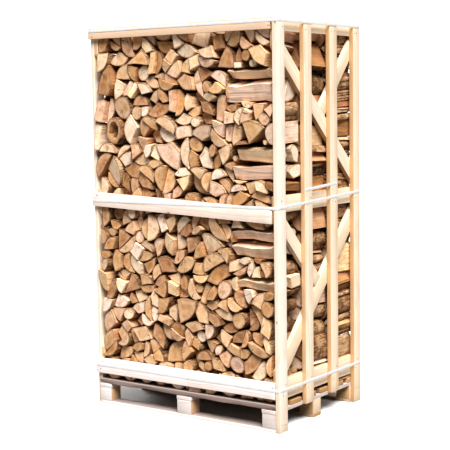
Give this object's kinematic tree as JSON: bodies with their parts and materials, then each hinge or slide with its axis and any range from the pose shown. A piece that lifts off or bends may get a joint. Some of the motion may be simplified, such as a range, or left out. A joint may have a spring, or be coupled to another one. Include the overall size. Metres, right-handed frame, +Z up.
{
  "type": "stack of firewood logs in a crate",
  "caption": "Split firewood logs stacked in rows inside a tall slatted wooden crate on a block pallet, held by plastic straps; stands on the floor.",
  "frame": {"origin": "Bottom centre of the crate's outer box, on the floor under the pallet runners.", "axes": "+Z up; -Y is the front, where the sawn log ends show; X runs along the front, with +X on the viewer's right."},
  "size_m": [1.2026, 0.8126, 2.035],
  "materials": {
    "log_wood": "sawn ends in pale beige to ochre with growth rings and cracks, split faces with torn grain, brown-grey bark on the round sides",
    "slat_wood": "raw sawn pine, cream to pale yellow, knots and saw marks",
    "rail_wood": "raw sawn pine, nearly white with a faint pink cast, knots",
    "pallet_wood": "rough sawn pallet softwood, end grain on blocks, bark left on some edges",
    "strap_plastic": "white polypropylene strapping with a fine embossed pattern"
  },
  "bodies": {
    "root": {"brace_left_lower_long": "slat_wood", "brace_left_lower_short": "slat_wood", "brace_left_upper_long": "slat_wood", "brace_left_upper_short": "slat_wood", "brace_right_lower_long": "slat_wood", "brace_right_lower_short": "slat_wood", "brace_right_upper_long": "slat_wood", "brace_right_upper_short": "slat_wood", "log_row_back": "log_wood", "log_row_front": "log_wood", "log_row_middle": "log_wood", "pallet_block_back_left": "pallet_wood", "pallet_block_back_middle": "pallet_wood", "pallet_block_back_right": "pallet_wood", "pallet_block_front_left": "pallet_wood", "pallet_block_front_middle": "pallet_wood", "pallet_block_front_right": "pallet_wood", "pallet_block_middle_left": "pallet_wood", "pallet_block_middle_middle": "pallet_wood", "pallet_block_middle_right": "pallet_wood", "pallet_deck_1": "pallet_wood", "pallet_deck_2": "pallet_wood", "pallet_deck_3": "pallet_wood", "pallet_deck_4": "pallet_wood", "pallet_deck_5": "pallet_wood", "pallet_deck_6": "pallet_wood", "pallet_runner_back": "pallet_wood", "pallet_runner_front": "pallet_wood", "pallet_runner_middle": "pallet_wood", "pallet_stringer_left": "pallet_wood", "pallet_stringer_middle": "pallet_wood", "pallet_stringer_right": "pallet_wood", "rail_back_bottom": "rail_wood", "rail_back_middle": "rail_wood", "rail_back_top": "rail_wood", "rail_front_bottom": "rail_wood", "rail_front_middle": "rail_wood", "rail_front_top": "rail_wood", "rail_left_bottom": "slat_wood", "rail_left_middle": "slat_wood", "rail_left_top": "slat_wood", "rail_right_bottom": "slat_wood", "rail_right_middle": "slat_wood", "rail_right_top": "slat_wood", "slat_left_1": "slat_wood", "slat_left_2": "slat_wood", "slat_left_3": "slat_wood", "slat_left_4": "slat_wood", "slat_right_1": "slat_wood", "slat_right_2": "slat_wood", "slat_right_3": "slat_wood", "slat_right_4": "slat_wood", "strap_bottom": "strap_plastic", "strap_middle": "strap_plastic", "strap_tail": "strap_plastic", "strap_top": "strap_plastic"}
  },
  "joints": []
}
